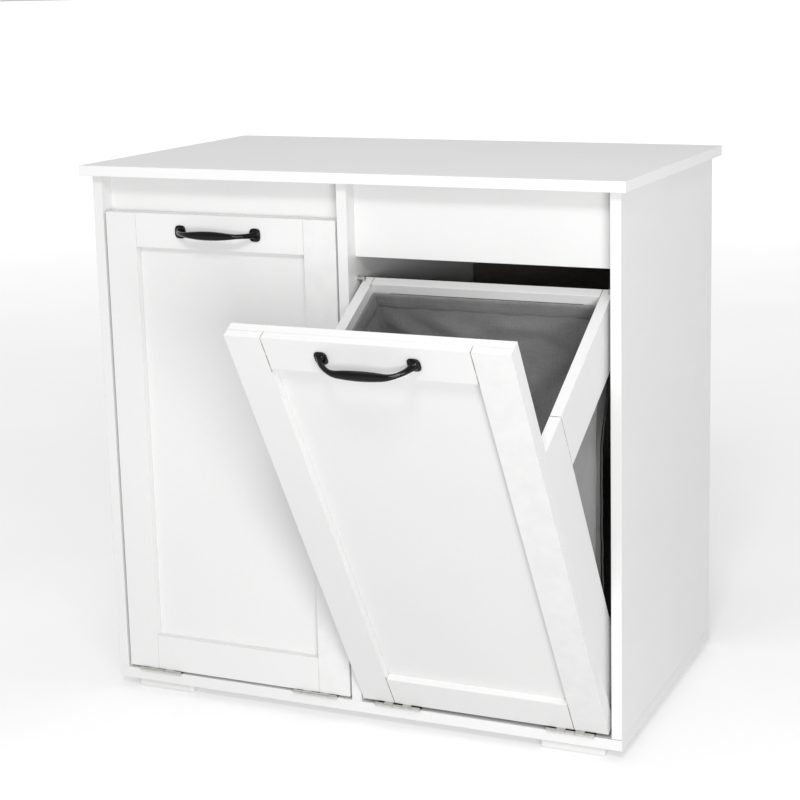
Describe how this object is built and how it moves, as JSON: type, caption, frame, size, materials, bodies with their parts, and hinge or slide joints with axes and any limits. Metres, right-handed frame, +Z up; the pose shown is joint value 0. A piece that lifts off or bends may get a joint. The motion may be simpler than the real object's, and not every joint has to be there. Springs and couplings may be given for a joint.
{
  "type": "double tilt-out bag cabinet",
  "caption": "White freestanding cabinet with two tilt-out fronts, each carrying a wooden frame with a grey fabric bag and a black bow pull.",
  "frame": {"origin": "on the floor under the middle of the cabinet as it stands with its right unit open; X = 0 is the middle of the centre divider", "axes": "+Z up, -Y towards the user, so the fronts face -Y, +X to the user's right"},
  "size_m": [0.874, 0.8814, 0.846],
  "materials": {
    "painted_board": "white satin paint on fibreboard",
    "painted_block": "white satin paint",
    "hardboard": "dark smooth hardboard",
    "dowel_wood": "bare beech",
    "screw_steel": "zinc plated",
    "hinge_steel": "nickel plated",
    "pin_metal": "nickel plated",
    "black_enamel": "gloss black enamel",
    "bag_fabric": "woven polyester",
    "hook_tape": "hook and loop tape"
  },
  "bodies": {
    "cabinet": {"back_nails": "screw_steel", "back_panel": "hardboard", "bottom_panel": "painted_board", "carcass_dowels": "dowel_wood", "carcass_screws": "screw_steel", "center_divider": "painted_board", "fascia_left": "painted_board", "fascia_right": "painted_board", "foot_front_left": "painted_block", "foot_front_right": "painted_block", "foot_rear_left": "painted_block", "foot_rear_right": "painted_block", "foot_screws": "screw_steel", "hinge_fixed_leaves": "hinge_steel", "hinge_fixed_screws": "screw_steel", "hinge_pins": "hinge_steel", "rear_stretcher_left": "painted_board", "rear_stretcher_right": "painted_board", "side_panel_left": "painted_board", "side_panel_right": "painted_board", "stop_pins": "pin_metal", "tabletop": "painted_board"},
    "tilt_left": {"bag_front_rail_left": "painted_board", "bag_left": "bag_fabric", "bag_post_left_left": "painted_board", "bag_post_right_left": "painted_board", "bag_rear_rail_left": "painted_board", "bag_side_rail_left_left": "painted_board", "bag_side_rail_right_left": "painted_board", "door_panel_left": "painted_board", "door_rail_bottom_left": "painted_board", "door_rail_top_left": "painted_board", "door_stile_left_left": "painted_board", "door_stile_right_left": "painted_board", "frame_dowels_left": "dowel_wood", "handle_left": "black_enamel", "handle_screws_left": "screw_steel", "hinge_door_leaves_left": "hinge_steel", "hinge_door_screws_left": "screw_steel", "hook_tape_left": "hook_tape", "post_screws_left": "screw_steel"},
    "tilt_right": {"bag_front_rail_right": "painted_board", "bag_post_left_right": "painted_board", "bag_post_right_right": "painted_board", "bag_rear_rail_right": "painted_board", "bag_right": "bag_fabric", "bag_side_rail_left_right": "painted_board", "bag_side_rail_right_right": "painted_board", "door_panel_right": "painted_board", "door_rail_bottom_right": "painted_board", "door_rail_top_right": "painted_board", "door_stile_left_right": "painted_board", "door_stile_right_right": "painted_board", "frame_dowels_right": "dowel_wood", "handle_right": "black_enamel", "handle_screws_right": "screw_steel", "hinge_door_leaves_right": "hinge_steel", "hinge_door_screws_right": "screw_steel", "hook_tape_right": "hook_tape", "post_screws_right": "screw_steel"}
  },
  "joints": [
    {"name": "left_tilt", "type": "hinge", "parent": "cabinet", "child": "tilt_left", "pos_m": [-0.2085, -0.05774, 0.035], "axis": [1, 0, 0], "range_deg": [0, 30]},
    {"name": "right_tilt", "type": "hinge", "parent": "cabinet", "child": "tilt_right", "pos_m": [0.2085, -0.05774, 0.035], "axis": [1, 0, 0], "range_deg": [-30, 0]}
  ]
}
